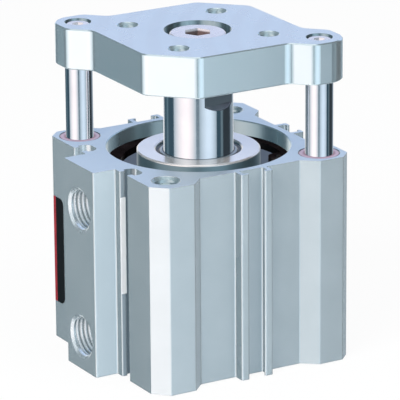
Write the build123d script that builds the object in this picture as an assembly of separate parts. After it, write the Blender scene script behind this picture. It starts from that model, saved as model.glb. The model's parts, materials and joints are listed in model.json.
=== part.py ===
from build123d import *
import math
import os

# Compact guided pneumatic cylinder, 50 mm bore and 20 mm stroke, modelled with the rod out.
# Millimetres. Z is the rod axis, Z = 0 is the bottom of the body, and the ports face -X.

# Main sizes
BODY_W = 64.0
BODY_WALL = 7.0
STROKE = 20.0
ROD_D = 20.0
GUIDE_ROD_D = 8.0
PLATE_GAP = 2.0

# Running and seating clearances, all radial or per side
RUN_GAP = 0.03
SEAT_GAP = 0.01
END_GAP = 0.1
COVER_GAP = 0.05

# How far a cutting shape runs past the face it opens, and the sides of a cord's section
OVER = 1.0
CORD_SIDES = 8

# Extruded body section
CORNER_INSET = 7.0
CORNER_CUT = 4.2
SIDE_CORNER_CUT = 3.2
EXTRUSION_ROUND = 0.4
RECESS_DEPTH = 3.6
RECESS_FIX_END = 16.2
RECESS_GUIDE_END = 16.5
FIX_FLANK_RUN = 3.6
GUIDE_FLANK_RUN = 4.6
RAIL_W = 2.5
RAIL_PITCH = 7.7
RAIL_SHIFT = 0.35
RAIL_STEM_W = 1.3
RAIL_LIP_T = 0.9
BOSS_W = 17.0
BOSS_H = 7.0
SLOT_MOUTH_W = 4.0
SLOT_CAVITY_W = 6.4
SLOT_LIP_T = 1.7
SLOT_DEPTH = 5.2
SLOT_OFFSET = 13.3
SLOT_ROUND = 2.2

# Body ends and bore
HEAD_WALL = 7.5
COVER_STEP = 1.3
RING_SINK = 4.4
EDGE_BREAK = 0.3

# Air ports with a quarter inch pipe thread
PORT_R = 6.58
PORT_DEPTH = 10.5
AIRWAY_R = 1.4
HEAD_PORT_RISE = 2.3
ROD_PORT_RISE = 4.2
AIRWAY_DROP = 0.3
AIRWAY_REACH = 5.0

# Body fixing holes, tapped M8 from both ends
FIX_THREAD_R = 4.0
FIX_THREAD_L = 14.0
FIX_HOLE_R = 3.4
FIX_CHAMFER = 0.2

# Piston, from its head side up
RELIEF_L = 2.2
LAND_L = 0.8
WEAR_RING_W = 3.0
MAGNET_W = 2.4
SEAL_W = 3.0
RELIEF_GAP = 2.0
LAND_GAP = 0.2
WEAR_RING_T = 2.0
WEAR_SPLIT_W = 0.8
WEAR_SPLIT_TILT = 30.0
MAGNET_T = 2.6
MAGNET_SINK = 0.7
SEAL_H = 3.9
SEAL_TIP = 0.5
SEAL_DIP = 0.9
BUMPER_T = 2.0
BUMPER_PROUD = 0.8
BUMPER_W = 7.5
BUMPER_IN_GAP = 2.5

# Piston rod
SPIGOT_STEP = 3.0
CLINCH_FLARE = 1.9
CLINCH_SINK = 0.3
ROD_GROOVE_DEPTH = 1.4
ROD_GROOVE_W = 1.9
ROD_TAP_DEPTH = 22.0
WRENCH_AF = 17.0
WRENCH_L = 8.35
WRENCH_RUNOUT = 45.0
WRENCH_ANGLE = -78.0

# Rod cover
SPIGOT_L = 5.0
FLANGE_T = 4.2
HUB_INSET = 8.6
HUB_SINK = 0.85
GASKET_GROOVE_W = 2.4
GASKET_GROOVE_DEPTH = 1.8
ROD_BUSH_T = 1.47
ROD_BUSH_L = 7.0
WEB_L = 2.0
WEB_GAP = 0.4
ROD_SEAL_T = 3.2
ROD_SEAL_H = 4.7
SEAL_LIP_T = 2.4
NOTCH_HALF = 0.5
NOTCH_DEPTH = 1.6
WIPER_FOOT_T = 1.5
WIPER_TIP_T = 0.9
WIPER_RISE = 0.55
WIPER_RELIEF = 0.4

# Retaining ring
RING_T = 2.0
RING_GROOVE_DEPTH = 1.5
RING_PLAY = 0.05
RING_FLOOR_GAP = 0.2
RING_BACK_W = 5.4
RING_TIP_W = 3.0
RING_GAP_HALF = 20.0
RING_EAR_R = 3.0
RING_EAR_ANGLE = 28.0
RING_EAR_HOLE_R = 1.25
RING_TURN = -52.0

# Guide rods and their bushes
GUIDE_BUSH_R = 6.0
GUIDE_BUSH_L = 12.0
GUIDE_BUSH_SINK = 0.1
GUIDE_ROD_SPARE = 2.0
GUIDE_RELIEF_GAP = 0.6
GUIDE_SEAT_DEPTH = 4.0
ROD_END_CHAMFER = 0.6

# Plate
PLATE_T = 12.0
PLATE_INSET = 5.9
PLATE_CORNER_CUT = 11.5
EAR_REACH = 10.6
EAR_ROUND = 6.6
PLATE_ROUND = 3.5
PLATE_BREAK = 0.35
TAP_PITCH = 29.2
TAP_R = 3.0
TAP_CHAMFER = 0.25

# Plate screw, low head M10
SCREW_R = 5.0
SCREW_HEAD_R = 8.0
SCREW_HEAD_H = 6.0
SCREW_L = 24.0
SCREW_AF = 7.0
SCREW_SOCKET = 3.6
SCREW_SINK = 0.8
SCREW_SINK_R = 9.65
SCREW_CLEAR_R = 5.4

# Guide rod screws, M4
PIN_SCREW_R = 2.0
PIN_HEAD_R = 3.5
PIN_HEAD_H = 4.0
PIN_SCREW_L = 12.0
PIN_SCREW_AF = 3.0
PIN_SOCKET = 2.2
PIN_SINK = 0.6
PIN_SINK_R = 3.85
PIN_CLEAR_R = 2.25
PIN_TAP_SPARE = 1.5
HEAD_CHAMFER = 0.35

# Labels, both blank
PLATE_LABEL_W = 5.6
PLATE_LABEL_H = 32.0
PLATE_LABEL_Z = 11.2
PLATE_LABEL_ROUND = 2.0
SLOT_LABEL_W = 1.5
SLOT_LABEL_H = 28.5
SLOT_LABEL_Z = 24.8
LABEL_T = 0.2

# Levels and radii that follow
HALF = BODY_W / 2
BORE_R = HALF - BODY_WALL
COVER_BORE_R = BORE_R + COVER_STEP
RELIEF_R = BORE_R - RELIEF_GAP
HUB_R = COVER_BORE_R - HUB_INSET
ROD_R = ROD_D / 2
BUMPER_IN_R = ROD_R + BUMPER_IN_GAP
BUMPER_OUT_R = BUMPER_IN_R + BUMPER_W
SPIGOT_R = ROD_R - SPIGOT_STEP
CLINCH_R = SPIGOT_R + CLINCH_FLARE
ROD_SEAL_R = ROD_R + ROD_SEAL_T
SEAL_LIP_R = ROD_R + SEAL_LIP_T
GUIDE_R = GUIDE_ROD_D / 2
CORNER = HALF - CORNER_INSET
PLATE_HALF = HALF - PLATE_INSET
EAR_HALF = CORNER + EAR_ROUND
EAR_ROOT = CORNER - EAR_REACH
PISTON_H = 2 * RELIEF_L + 4 * LAND_L + WEAR_RING_W + MAGNET_W + SEAL_W
PISTON_Z = HEAD_WALL + END_GAP + BUMPER_PROUD + STROKE
PISTON_TOP = PISTON_Z + PISTON_H
COVER_Z = PISTON_TOP + BUMPER_PROUD + END_GAP
SEAT_Z = COVER_Z + SPIGOT_L
FLANGE_TOP = SEAT_Z + FLANGE_T
GROOVE_TOP = FLANGE_TOP + RING_T + 2 * RING_PLAY
BODY_H = GROOVE_TOP + RING_SINK
PLATE_Z = BODY_H + PLATE_GAP + STROKE
PLATE_TOP = PLATE_Z + PLATE_T
HEAD_PORT_Z = HEAD_WALL + HEAD_PORT_RISE
ROD_AIRWAY_Z = COVER_Z - AIRWAY_DROP - AIRWAY_R
ROD_PORT_Z = ROD_AIRWAY_Z + ROD_PORT_RISE
PORT_X = -HALF - BOSS_H
GUIDE_ROD_Z = STROKE + GUIDE_ROD_SPARE
LOWER_BUSH_Z = GUIDE_ROD_Z + END_GAP
UPPER_BUSH_Z = BODY_H - GUIDE_BUSH_SINK - GUIDE_BUSH_L
GUIDE_ROD_TOP = PLATE_Z + GUIDE_SEAT_DEPTH
LAND_R = BORE_R - LAND_GAP
GUIDE_CORNERS = [(-CORNER, CORNER), (CORNER, -CORNER)]
FIX_CORNERS = [(-CORNER, -CORNER), (CORNER, CORNER)]


def cylinder(radius, bottom, top, x=0.0, y=0.0):
    """Solid round bar along Z between two levels."""
    disc = Plane.XY.offset(bottom) * Pos(x, y) * Circle(radius)
    return extrude(disc, top - bottom)


def tube(inner, outer, bottom, top, x=0.0, y=0.0):
    """Ring of rectangular section along Z."""
    return cylinder(outer, bottom, top, x, y) - cylinder(inner, bottom - OVER, top + OVER, x, y)


def cone(low_r, high_r, bottom, top, x=0.0, y=0.0):
    """Truncated cone along Z, for countersinks and chamfered ends."""
    return Pos(x, y, (bottom + top) / 2) * Cone(low_r, high_r, top - bottom)


def turned(points):
    """Ring turned about the Z axis from a closed outline of (radius, height) points."""
    outline = Polyline([(r, 0, z) for r, z in points], close=True)
    return revolve(make_face(outline), Axis.Z)


def o_ring(inner, outer, z):
    """Cord between an inner and an outer radius, squeezed flat where it seals."""
    centre = (inner + outer) / 2
    reach = (outer - inner) / 2 / math.cos(math.pi / CORD_SIDES)
    angles = [math.tau * (side + 0.5) / CORD_SIDES for side in range(CORD_SIDES)]
    return turned([(centre + reach * math.cos(a), z + reach * math.sin(a)) for a in angles])


def hex_bar(across_flats, bottom, top, x=0.0, y=0.0):
    """Hexagonal bar along Z, for screw sockets."""
    hexagon = RegularPolygon(across_flats / 2, 6, major_radius=False)
    return extrude(Plane.XY.offset(bottom) * Pos(x, y) * hexagon, top - bottom)


def polygon(points):
    """Flat face with straight sides, from its corner points."""
    return make_face(Polyline([(x, y) for x, y in points], close=True))


def face_recess():
    """Shallow channel of one plain side, drawn for the -Y side with its fixing hole end at -X."""
    floor_y = -HALF + RECESS_DEPTH
    out = -HALF - OVER
    fix_slope = FIX_FLANK_RUN / RECESS_DEPTH
    guide_slope = GUIDE_FLANK_RUN / RECESS_DEPTH
    return polygon([
        (-RECESS_FIX_END - FIX_FLANK_RUN - OVER * fix_slope, out),
        (-RECESS_FIX_END, floor_y),
        (RECESS_GUIDE_END, floor_y),
        (RECESS_GUIDE_END + GUIDE_FLANK_RUN + OVER * guide_slope, out),
    ])


def face_rail():
    """Rib of a recess with a lip on its +X side, its outer face flush with the body's."""
    root = -HALF + RECESS_DEPTH + OVER
    back = -RAIL_W / 2
    stem = back + RAIL_STEM_W
    lip = -HALF + RAIL_LIP_T
    return polygon([
        (back, -HALF),
        (RAIL_W / 2, -HALF),
        (RAIL_W / 2, lip),
        (stem, lip),
        (stem, root),
        (back, root),
    ])


def face_rails():
    """Pair of upright ribs whose lips face each other, drawn for the -Y side."""
    left = Pos(RAIL_SHIFT - RAIL_PITCH / 2, 0) * face_rail()
    right = Pos(RAIL_SHIFT + RAIL_PITCH / 2, 0) * mirror(face_rail(), Plane.YZ)
    return left + right


def switch_slot(side):
    """Undercut slot for a position sensor beside the port boss."""
    y = side * SLOT_OFFSET
    mouth = Pos(-HALF + SLOT_LIP_T / 2, y) * Rectangle(SLOT_LIP_T + 2 * OVER, SLOT_MOUTH_W)
    cavity_d = SLOT_DEPTH - SLOT_LIP_T
    cavity = Pos(-HALF + SLOT_LIP_T + cavity_d / 2, y) * Rectangle(cavity_d, SLOT_CAVITY_W)
    inner = cavity.vertices().group_by(Axis.X)[-1]
    return mouth + fillet(inner, SLOT_ROUND)


def body_section():
    """Cross section of the extruded body."""
    square = Rectangle(BODY_W, BODY_W)
    corners = square.vertices()
    front = corners.sort_by(Axis.X)[:2].sort_by(Axis.Y)[:1]
    others = [v for v in corners if v not in front]
    section = chamfer(others, SIDE_CORNER_CUT)
    nearest = section.vertices().sort_by_distance((-HALF, -HALF))[:1]
    section = chamfer(nearest, CORNER_CUT)
    for turn, channel, ribs in (
        (0, face_recess(), face_rails()),
        (90, mirror(face_recess(), Plane.YZ), mirror(face_rails(), Plane.YZ)),
        (180, face_recess(), face_rails()),
    ):
        section -= Rot(0, 0, turn) * channel
        section += Rot(0, 0, turn) * ribs
    boss_x = PORT_X + (BOSS_H + SLOT_DEPTH) / 2
    section += Pos(boss_x, 0) * Rectangle(BOSS_H + SLOT_DEPTH, BOSS_W)
    for side in (-1, 1):
        section -= switch_slot(side)
    return section


def sharp_corners(section):
    """Corner points of an extruded section, all but those on its curves."""
    straight = [e for e in section.edges() if e.geom_type == GeomType.LINE]
    ends = [v for e in straight for v in e.vertices()]
    return [v for v in section.vertices() if sum(1 for w in ends if w == v) == 2]


def cylinder_tube():
    """Body extrusion with its blind bore, guide bores, fixing holes, slots and ports."""
    section = body_section()
    section = fillet(sharp_corners(section), EXTRUSION_ROUND)
    body = extrude(section, BODY_H)
    body -= cylinder(BORE_R, HEAD_WALL, BODY_H + OVER)
    body -= cylinder(COVER_BORE_R, SEAT_Z, BODY_H + OVER)
    body -= cylinder(COVER_BORE_R + RING_GROOVE_DEPTH, FLANGE_TOP, GROOVE_TOP)
    body -= cone(COVER_BORE_R, COVER_BORE_R + EDGE_BREAK, BODY_H - EDGE_BREAK, BODY_H)
    for x, y in GUIDE_CORNERS:
        body -= cylinder(GUIDE_BUSH_R + SEAT_GAP, LOWER_BUSH_Z, BODY_H + OVER, x, y)
        body -= cylinder(GUIDE_R + GUIDE_RELIEF_GAP, -OVER, BODY_H, x, y)
    for x, y in FIX_CORNERS:
        body -= cylinder(FIX_HOLE_R, -OVER, BODY_H + OVER, x, y)
        body -= cylinder(FIX_THREAD_R, -OVER, FIX_THREAD_L, x, y)
        body -= cylinder(FIX_THREAD_R, BODY_H - FIX_THREAD_L, BODY_H + OVER, x, y)
        mouth_r = FIX_THREAD_R + FIX_CHAMFER
        body -= cone(FIX_THREAD_R, mouth_r, BODY_H - FIX_CHAMFER, BODY_H, x, y)
        body -= cone(mouth_r, FIX_THREAD_R, 0, FIX_CHAMFER, x, y)
    for port_z, airway_z in ((HEAD_PORT_Z, HEAD_PORT_Z), (ROD_PORT_Z, ROD_AIRWAY_Z)):
        port = Plane(origin=(PORT_X, 0, port_z), z_dir=(1, 0, 0)) * Circle(PORT_R)
        airway = Plane(origin=(PORT_X, 0, airway_z), z_dir=(1, 0, 0)) * Circle(AIRWAY_R)
        body -= extrude(port, PORT_DEPTH)
        body -= extrude(airway, -PORT_X - BORE_R + AIRWAY_REACH)
    return body


def rod_cover():
    """Flanged cover that closes the bore and carries the rod bush and the rod seal."""
    spigot_r = BORE_R - COVER_GAP
    flange_r = COVER_BORE_R - END_GAP
    cover = cylinder(spigot_r, COVER_Z, SEAT_Z)
    cover += cylinder(flange_r, SEAT_Z, FLANGE_TOP)
    hub_top = BODY_H - HUB_SINK
    cover += cylinder(HUB_R, FLANGE_TOP, hub_top - HEAD_CHAMFER)
    cover += cone(HUB_R, HUB_R - HEAD_CHAMFER, hub_top - HEAD_CHAMFER, hub_top)
    groove_z = (COVER_Z + SEAT_Z - GASKET_GROOVE_W) / 2
    groove_r = spigot_r - GASKET_GROOVE_DEPTH
    cover -= tube(groove_r, spigot_r + OVER, groove_z, groove_z + GASKET_GROOVE_W)
    bush_top = COVER_Z + ROD_BUSH_L
    cover -= cylinder(ROD_R + RUN_GAP + ROD_BUSH_T + SEAT_GAP, COVER_Z - OVER, bush_top)
    cover -= cylinder(ROD_R + WEB_GAP, COVER_Z - OVER, hub_top + OVER)
    seal_z = bush_top + WEB_L
    cover -= cylinder(ROD_SEAL_R, seal_z, seal_z + ROD_SEAL_H)
    cover -= cylinder(SEAL_LIP_R, seal_z, hub_top + OVER)
    cover -= cone(SEAL_LIP_R, SEAL_LIP_R + EDGE_BREAK, hub_top - EDGE_BREAK, hub_top)
    return cover


def rod_bush():
    """Plain bush that guides the piston rod in the cover."""
    inner = ROD_R + RUN_GAP
    return tube(inner, inner + ROD_BUSH_T, COVER_Z, COVER_Z + ROD_BUSH_L)


def rod_seal():
    """U shaped rod seal with a wiper lip that shows round the rod."""
    low = COVER_Z + ROD_BUSH_L + WEB_L
    high = low + ROD_SEAL_H - SEAT_GAP
    inner = ROD_R + RUN_GAP
    outer = ROD_SEAL_R - SEAT_GAP
    middle = (inner + outer) / 2
    tip = high + WIPER_RISE
    return turned([
        (inner, low),
        (middle - NOTCH_HALF, low),
        (middle, low + NOTCH_DEPTH),
        (middle + NOTCH_HALF, low),
        (outer, low),
        (outer, high),
        (inner + WIPER_FOOT_T, high),
        (inner + WIPER_TIP_T, tip),
        (inner, tip),
        (inner + WIPER_RELIEF, high - WIPER_RELIEF),
        (inner + WIPER_RELIEF, low + NOTCH_DEPTH),
    ])


def cover_gasket():
    """O-ring in the groove of the cover's spigot."""
    inner = BORE_R - COVER_GAP - GASKET_GROOVE_DEPTH
    return o_ring(inner + SEAT_GAP, BORE_R - SEAT_GAP, (COVER_Z + SEAT_Z) / 2)


def retaining_ring():
    """Internal C ring, wide at its back and narrow at its tips, with plier holes."""
    outer_r = COVER_BORE_R + RING_GROOVE_DEPTH - RING_FLOOR_GAP
    inner_r = outer_r - (RING_BACK_W + RING_TIP_W) / 2
    shift = (RING_BACK_W - RING_TIP_W) / 2
    ring = Circle(outer_r) - Pos(shift, 0) * Circle(inner_r)
    reach = outer_r * 2
    half = math.radians(RING_GAP_HALF)
    edge = (reach * math.cos(half), reach * math.sin(half))
    ring -= polygon([(0, 0), (edge[0], -edge[1]), (edge[0], edge[1])])
    ear_at = outer_r - RING_TIP_W - RING_EAR_R / 2
    for side in (-1, 1):
        angle = math.radians(side * RING_EAR_ANGLE)
        spot = Pos(ear_at * math.cos(angle), ear_at * math.sin(angle))
        ring += spot * Circle(RING_EAR_R)
        ring -= spot * Circle(RING_EAR_HOLE_R)
    ring = Rot(0, 0, RING_TURN) * ring
    return extrude(Plane.XY.offset(FLANGE_TOP + RING_PLAY) * ring, RING_T)


def guide_bush(corner, bottom):
    """Sintered bush pressed into a guide bore, with a small chamfer on its rim."""
    x, y = corner
    top = bottom + GUIDE_BUSH_L
    bush = cylinder(GUIDE_BUSH_R, bottom, top - EDGE_BREAK, x, y)
    bush += cone(GUIDE_BUSH_R, GUIDE_BUSH_R - EDGE_BREAK, top - EDGE_BREAK, top, x, y)
    return bush - cylinder(GUIDE_R + RUN_GAP, bottom - OVER, top + OVER, x, y)


def piston_levels():
    """Heights of the piston's grooves: wear ring, magnet and seal."""
    wear = PISTON_Z + RELIEF_L + LAND_L
    magnet_z = wear + WEAR_RING_W + LAND_L
    seal = magnet_z + MAGNET_W + LAND_L
    return wear, magnet_z, seal


def piston():
    """Piston with its three grooves, two bumper recesses and the clinch countersink."""
    wear, magnet_z, seal = piston_levels()
    body = cylinder(RELIEF_R, PISTON_Z, PISTON_TOP)
    body += cylinder(LAND_R, PISTON_Z + RELIEF_L, PISTON_TOP - RELIEF_L)
    body -= tube(BORE_R - RUN_GAP - WEAR_RING_T, BORE_R, wear, wear + WEAR_RING_W)
    body -= tube(LAND_R - MAGNET_SINK - MAGNET_T, BORE_R, magnet_z, magnet_z + MAGNET_W)
    body -= tube(BORE_R - RUN_GAP - SEAL_H, BORE_R, seal, seal + SEAL_W)
    recess = BUMPER_T - BUMPER_PROUD
    low = tube(BUMPER_IN_R, BUMPER_OUT_R, PISTON_Z - OVER, PISTON_Z + recess)
    high = tube(BUMPER_IN_R, BUMPER_OUT_R, PISTON_TOP - recess, PISTON_TOP + OVER)
    body -= low
    body -= high
    body -= cylinder(SPIGOT_R + SEAT_GAP, PISTON_Z - OVER, PISTON_TOP + OVER)
    cone_r = CLINCH_R + SEAT_GAP
    body -= cylinder(cone_r, PISTON_Z - OVER, PISTON_Z + CLINCH_SINK)
    cone_z = PISTON_Z + CLINCH_SINK
    body -= cone(cone_r, SPIGOT_R + SEAT_GAP, cone_z, cone_z + CLINCH_FLARE)
    return body


def wear_ring():
    """Split guide band of the piston."""
    wear = piston_levels()[0]
    outer = BORE_R - RUN_GAP
    band = tube(outer - WEAR_RING_T + SEAT_GAP, outer, wear + SEAT_GAP, wear + WEAR_RING_W - SEAT_GAP)
    middle = Pos(outer, 0, wear + WEAR_RING_W / 2) * Rot(WEAR_SPLIT_TILT, 0, 0)
    return band - middle * Box(3 * WEAR_RING_T, WEAR_SPLIT_W, 4 * WEAR_RING_W)


def magnet():
    """Ring magnet that the position sensors read."""
    low = piston_levels()[1]
    outer = LAND_R - MAGNET_SINK
    return tube(outer - MAGNET_T + SEAT_GAP, outer, low + SEAT_GAP, low + MAGNET_W - SEAT_GAP)


def piston_seal():
    """Double acting lip seal of the piston."""
    low = piston_levels()[2] + SEAT_GAP
    width = SEAL_W - 2 * SEAT_GAP
    outer = BORE_R - RUN_GAP
    inner = outer - SEAL_H + SEAT_GAP
    return turned([
        (inner, low),
        (outer - SEAL_TIP, low),
        (outer, low + SEAL_TIP),
        (outer - SEAL_DIP, low + width / 2),
        (outer, low + width - SEAL_TIP),
        (outer - SEAL_TIP, low + width),
        (inner, low + width),
    ])


def bumper(bottom):
    """Soft ring that ends a stroke quietly."""
    return tube(BUMPER_IN_R + SEAT_GAP, BUMPER_OUT_R - SEAT_GAP, bottom, bottom + BUMPER_T)


def wrench_cut():
    """Space in front of one wrench flat, with the sloped run-out of its cutter below."""
    flat_x = WRENCH_AF / 2
    flat_z = PLATE_Z - WRENCH_L
    drop = ROD_R / math.tan(math.radians(WRENCH_RUNOUT))
    outline = Polyline([
        (flat_x, 0, PLATE_Z + OVER),
        (flat_x, 0, flat_z),
        (flat_x + ROD_R, 0, flat_z - drop),
        (flat_x + ROD_R, 0, PLATE_Z + OVER),
    ], close=True)
    return extrude(make_face(outline), ROD_D, dir=(0, 1, 0), both=True)


def piston_rod():
    """Piston rod: clinched spigot, plain rod, wrench flats and the tapped end."""
    rod = cylinder(ROD_R, PISTON_TOP, PLATE_Z - ROD_END_CHAMFER)
    rod += cone(ROD_R, ROD_R - ROD_END_CHAMFER, PLATE_Z - ROD_END_CHAMFER, PLATE_Z)
    low = PISTON_Z + CLINCH_SINK
    rod += cylinder(SPIGOT_R, low, PISTON_TOP)
    rod += cone(CLINCH_R, SPIGOT_R, low, low + CLINCH_FLARE)
    groove = (PISTON_Z + PISTON_TOP - ROD_GROOVE_W) / 2
    rod -= tube(SPIGOT_R - ROD_GROOVE_DEPTH, SPIGOT_R + OVER, groove, groove + ROD_GROOVE_W)
    rod -= cylinder(SCREW_R + SEAT_GAP, PLATE_Z - ROD_TAP_DEPTH, PLATE_Z + OVER)
    for turn in (0, 180):
        rod -= Rot(0, 0, WRENCH_ANGLE + turn) * wrench_cut()
    return rod


def piston_gasket():
    """O-ring between the piston and the rod's spigot."""
    inner = SPIGOT_R - ROD_GROOVE_DEPTH + SEAT_GAP
    return o_ring(inner, SPIGOT_R, (PISTON_Z + PISTON_TOP) / 2)


def guide_rod(corner):
    """Ground guide rod, tapped at its upper end for its screw."""
    x, y = corner
    low = GUIDE_ROD_Z
    high = GUIDE_ROD_TOP
    tip = GUIDE_R - ROD_END_CHAMFER
    rod = cylinder(GUIDE_R, low + ROD_END_CHAMFER, high - ROD_END_CHAMFER, x, y)
    rod += cone(tip, GUIDE_R, low, low + ROD_END_CHAMFER, x, y)
    rod += cone(GUIDE_R, tip, high - ROD_END_CHAMFER, high, x, y)
    seat = PLATE_TOP - PIN_SINK - PIN_HEAD_H
    tap_z = seat - PIN_SCREW_L - PIN_TAP_SPARE
    return rod - cylinder(PIN_SCREW_R + SEAT_GAP, tap_z, high + OVER, x, y)


def plate_outline():
    """Plan of the plate: a square with two cut corners and two ears over the guide rods."""
    cut = PLATE_HALF - PLATE_CORNER_CUT
    slope = EAR_HALF - PLATE_HALF
    shoulder = EAR_ROOT + slope
    half_plan = [
        (-PLATE_HALF, -cut),
        (-cut, -PLATE_HALF),
        (EAR_ROOT, -PLATE_HALF),
        (shoulder, -EAR_HALF),
        (EAR_HALF, -EAR_HALF),
        (EAR_HALF, -shoulder),
        (PLATE_HALF, -EAR_ROOT),
    ]
    plan = polygon(half_plan + [(-x, -y) for x, y in half_plan])
    tips = [v for v in plan.vertices() if min(abs(v.X), abs(v.Y)) > EAR_HALF - 0.01]
    plan = fillet(tips, EAR_ROUND)
    corners = [v for v in plan.vertices() if min(abs(v.X), abs(v.Y)) < shoulder + 0.01]
    return fillet(corners, PLATE_ROUND)


def plate():
    """Tooling plate, counterbored for its screws and tapped for the load."""
    block = extrude(Plane.XY.offset(PLATE_Z) * plate_outline(), PLATE_T)
    rim = block.edges().group_by(Axis.Z)
    block = chamfer(rim[0] + rim[-1], PLATE_BREAK)
    block -= cylinder(SCREW_SINK_R, PLATE_TOP - SCREW_SINK - SCREW_HEAD_H, PLATE_TOP + OVER)
    block -= cylinder(SCREW_CLEAR_R, PLATE_Z - OVER, PLATE_TOP)
    for x, y in GUIDE_CORNERS:
        block -= cylinder(PIN_SINK_R, PLATE_TOP - PIN_SINK - PIN_HEAD_H, PLATE_TOP + OVER, x, y)
        block -= cylinder(PIN_CLEAR_R, PLATE_Z - OVER, PLATE_TOP, x, y)
        block -= cylinder(GUIDE_R + SEAT_GAP, PLATE_Z - OVER, GUIDE_ROD_TOP, x, y)
    for x in (-TAP_PITCH / 2, TAP_PITCH / 2):
        for y in (-TAP_PITCH / 2, TAP_PITCH / 2):
            block -= cylinder(TAP_R, PLATE_Z - OVER, PLATE_TOP + OVER, x, y)
            mouth_r = TAP_R + TAP_CHAMFER
            block -= cone(TAP_R, mouth_r, PLATE_TOP - TAP_CHAMFER, PLATE_TOP, x, y)
    return block


def socket_screw(x, y, seat, shank_r, length, head_r, head_h, across_flats, socket):
    """Socket head cap screw with its head resting on a seat level."""
    top = seat + head_h
    screw = cylinder(shank_r, seat - length, seat, x, y)
    screw += cylinder(head_r, seat, top - HEAD_CHAMFER, x, y)
    screw += cone(head_r, head_r - HEAD_CHAMFER, top - HEAD_CHAMFER, top, x, y)
    return screw - hex_bar(across_flats, top - socket, top + OVER, x, y)


def plate_screw():
    """Low head M10 screw that holds the plate to the piston rod."""
    seat = PLATE_TOP - SCREW_SINK - SCREW_HEAD_H
    return socket_screw(0, 0, seat, SCREW_R, SCREW_L, SCREW_HEAD_R, SCREW_HEAD_H, SCREW_AF, SCREW_SOCKET)


def guide_rod_screws():
    """Two M4 screws that hold the guide rods to the plate."""
    seat = PLATE_TOP - PIN_SINK - PIN_HEAD_H
    size = (seat, PIN_SCREW_R, PIN_SCREW_L, PIN_HEAD_R, PIN_HEAD_H, PIN_SCREW_AF, PIN_SOCKET)
    return Compound([socket_screw(x, y, *size) for x, y in GUIDE_CORNERS])


def name_plate():
    """Blank label beside the ports, flush with the body's left corner."""
    edge = HALF - SIDE_CORNER_CUT - EXTRUSION_ROUND
    centre_y = edge - PLATE_LABEL_W / 2
    centre_z = PLATE_LABEL_Z + PLATE_LABEL_H / 2
    face = Plane(origin=(-HALF, centre_y, centre_z), x_dir=(0, -1, 0), z_dir=(-1, 0, 0))
    label = Rectangle(PLATE_LABEL_W, PLATE_LABEL_H)
    inner = label.vertices().group_by(Axis.X)[-1]
    return extrude(face * fillet(inner, PLATE_LABEL_ROUND), LABEL_T)


def slot_label():
    """Blank strip on the inner lip of the slot nearer the front."""
    lip_y = -SLOT_OFFSET + SLOT_MOUTH_W / 2
    x = -HALF + SLOT_LIP_T / 2
    centre_z = SLOT_LABEL_Z + SLOT_LABEL_H / 2
    face = Plane(origin=(x, lip_y, centre_z), x_dir=(1, 0, 0), z_dir=(0, -1, 0))
    return extrude(face * Rectangle(SLOT_LABEL_W, SLOT_LABEL_H), LABEL_T)


def build():
    """Every piece by its node name."""
    left, right = GUIDE_CORNERS
    bumper_sink = BUMPER_T - BUMPER_PROUD
    return {
        "cylinder_tube": cylinder_tube(),
        "rod_cover": rod_cover(),
        "rod_bush": rod_bush(),
        "rod_seal": rod_seal(),
        "cover_gasket": cover_gasket(),
        "retaining_ring": retaining_ring(),
        "upper_guide_bush_left": guide_bush(left, UPPER_BUSH_Z),
        "lower_guide_bush_left": guide_bush(left, LOWER_BUSH_Z),
        "upper_guide_bush_right": guide_bush(right, UPPER_BUSH_Z),
        "lower_guide_bush_right": guide_bush(right, LOWER_BUSH_Z),
        "name_plate": name_plate(),
        "slot_label": slot_label(),
        "piston": piston(),
        "piston_seal": piston_seal(),
        "piston_magnet": magnet(),
        "wear_ring": wear_ring(),
        "head_bumper": bumper(PISTON_Z - BUMPER_PROUD),
        "rod_bumper": bumper(PISTON_TOP - bumper_sink),
        "piston_gasket": piston_gasket(),
        "piston_rod": piston_rod(),
        "guide_rod_left": guide_rod(left),
        "guide_rod_right": guide_rod(right),
        "plate": plate(),
        "plate_screw": plate_screw(),
        "guide_rod_screws": guide_rod_screws(),
    }


os.makedirs("parts", exist_ok=True)
for node, shape in build().items():
    export_step(shape, f"parts/{node}.step")
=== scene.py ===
import json
import math

import bpy
from mathutils import Matrix, Vector


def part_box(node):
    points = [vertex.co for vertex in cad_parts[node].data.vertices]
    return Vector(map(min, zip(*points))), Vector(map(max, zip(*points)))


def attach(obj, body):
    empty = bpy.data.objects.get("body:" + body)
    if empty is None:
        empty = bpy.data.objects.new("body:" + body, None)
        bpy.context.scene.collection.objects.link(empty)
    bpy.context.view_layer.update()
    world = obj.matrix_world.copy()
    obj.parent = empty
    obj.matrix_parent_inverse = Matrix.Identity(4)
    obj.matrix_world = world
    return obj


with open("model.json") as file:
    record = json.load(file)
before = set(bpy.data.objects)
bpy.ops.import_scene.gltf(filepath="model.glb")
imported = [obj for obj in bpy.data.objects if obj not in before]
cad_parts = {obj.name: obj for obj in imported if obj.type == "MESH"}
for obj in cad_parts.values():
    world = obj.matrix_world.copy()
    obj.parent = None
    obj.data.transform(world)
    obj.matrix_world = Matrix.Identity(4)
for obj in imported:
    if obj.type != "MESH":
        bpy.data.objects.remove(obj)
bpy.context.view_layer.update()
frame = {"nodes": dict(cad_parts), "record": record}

# Looks of a guided pneumatic cylinder with its rod out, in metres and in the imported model's frame

# Camera, at the photograph's place
IMAGE_PX = 400
FOCAL_PX = 3765.61
SENSOR_MM = 36.0
NEAR_CLIP = 0.05
CAMERA_AZIMUTH = math.radians(-30.048)
CAMERA_ELEVATION = math.radians(17.919)
CAMERA_ROLL = math.radians(-0.436)
CAMERA_DISTANCE = 1.09482
CAMERA_RIGHT = -0.0000111
CAMERA_UP = 0.0420397

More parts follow.
